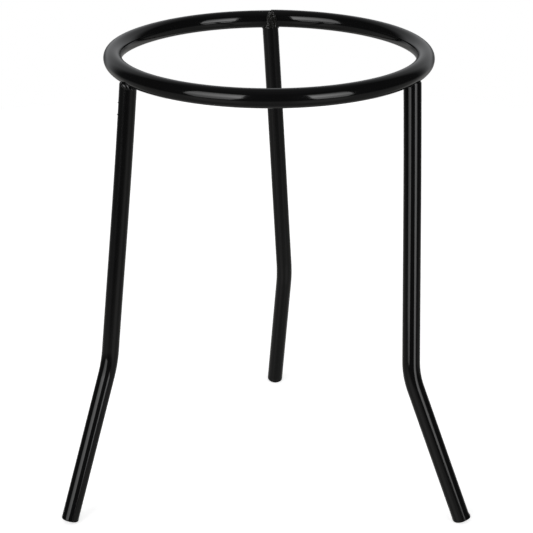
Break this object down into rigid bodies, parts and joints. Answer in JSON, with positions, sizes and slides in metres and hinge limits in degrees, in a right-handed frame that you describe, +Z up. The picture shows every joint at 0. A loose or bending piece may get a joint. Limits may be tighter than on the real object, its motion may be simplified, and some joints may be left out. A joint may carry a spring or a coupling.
{
  "type": "lab tripod stand",
  "caption": "Black enamelled steel tripod that holds a flask, dish or gauze on a round ring above a burner, on splayed rod legs.",
  "frame": {"origin": "middle of the stand's bounding box in plan, on the bench plane that the feet stand on", "axes": "+Z up, square to the ring; +X to the right and +Y away when the rear leg is at the back"},
  "size_m": [0.182, 0.1681, 0.2043],
  "materials": {
    "black_enamel": "gloss",
    "enamelled_weld": "gloss"
  },
  "bodies": {
    "root": {"ring": "black_enamel", "leg_left": "black_enamel", "leg_right": "black_enamel", "leg_rear": "black_enamel", "weld_left": "enamelled_weld", "weld_right": "enamelled_weld", "weld_rear": "enamelled_weld", "ring_seam_weld": "enamelled_weld"}
  },
  "joints": []
}
